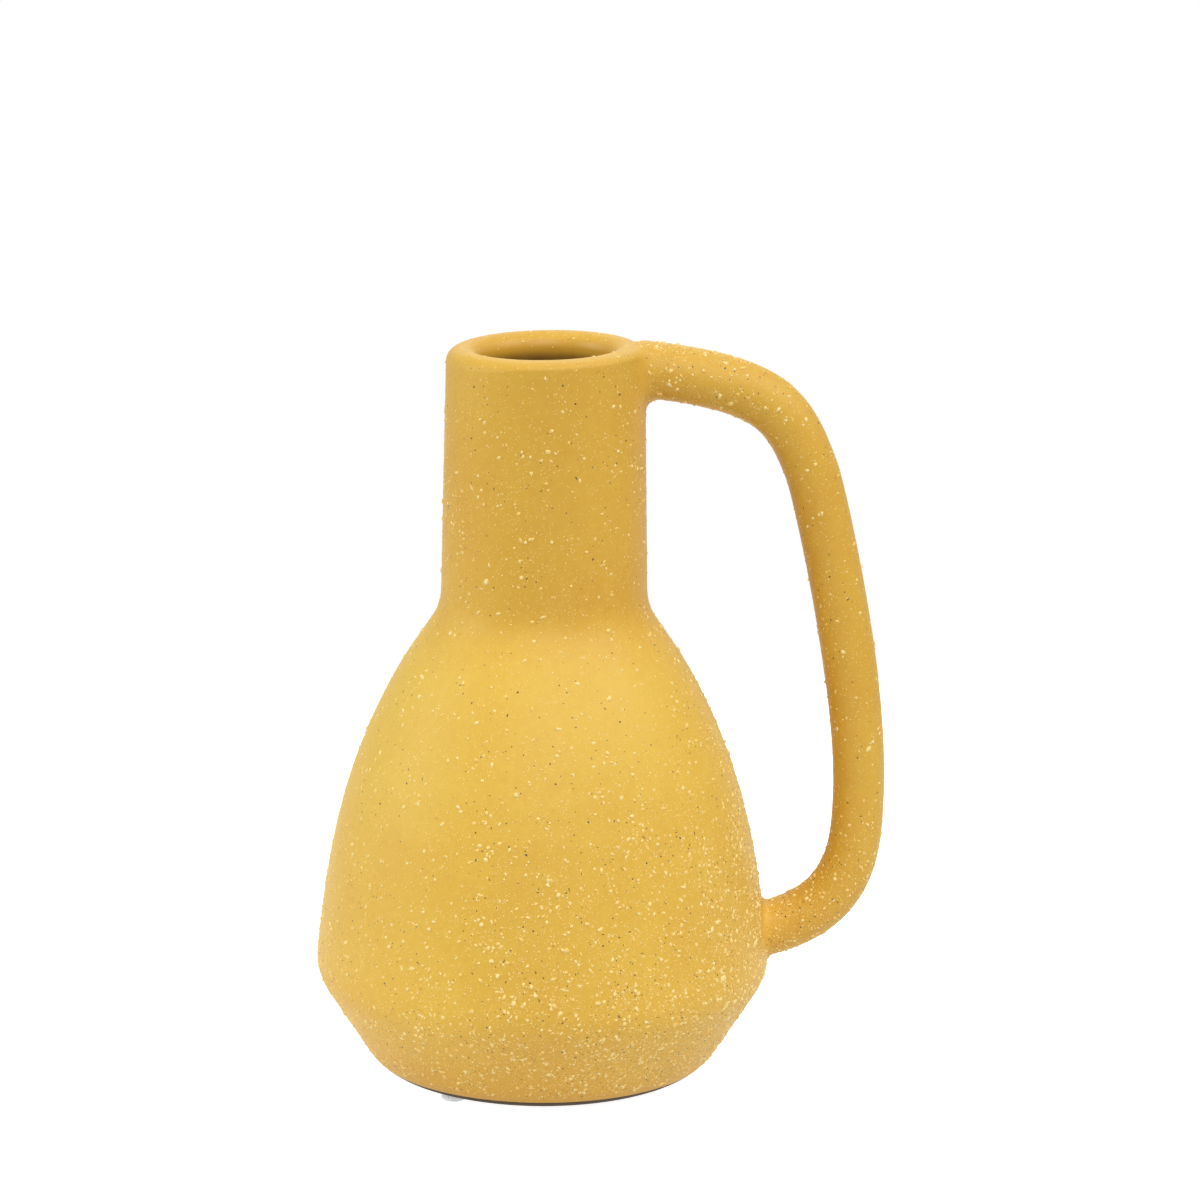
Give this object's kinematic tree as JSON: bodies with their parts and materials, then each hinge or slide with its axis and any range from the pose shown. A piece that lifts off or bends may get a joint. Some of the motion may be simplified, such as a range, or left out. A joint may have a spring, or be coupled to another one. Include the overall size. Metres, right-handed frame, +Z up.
{
  "type": "handled vase",
  "caption": "Round-bellied vase with a straight neck and a long rod handle from rim to belly, in gritty matte ochre glaze, raised on small clear bumpers.",
  "frame": {"origin": "on the standing plane, below the middle of the whole outline seen from above; the vessel's upright axis stands 17.8 mm from it towards -X", "axes": "+Z up; +X towards the handle; the handle lies in the XZ plane"},
  "size_m": [0.1764, 0.1408, 0.2318],
  "materials": {
    "glazed_stoneware": "matte ochre glaze over gritty stoneware",
    "clear_silicone": "clear satin silicone"
  },
  "bodies": {
    "root": {"vessel": "glazed_stoneware", "handle": "glazed_stoneware", "upper_joint_fillet": "glazed_stoneware", "lower_joint_fillet": "glazed_stoneware", "foot_pad_1": "clear_silicone", "foot_pad_2": "clear_silicone", "foot_pad_3": "clear_silicone"}
  },
  "joints": []
}
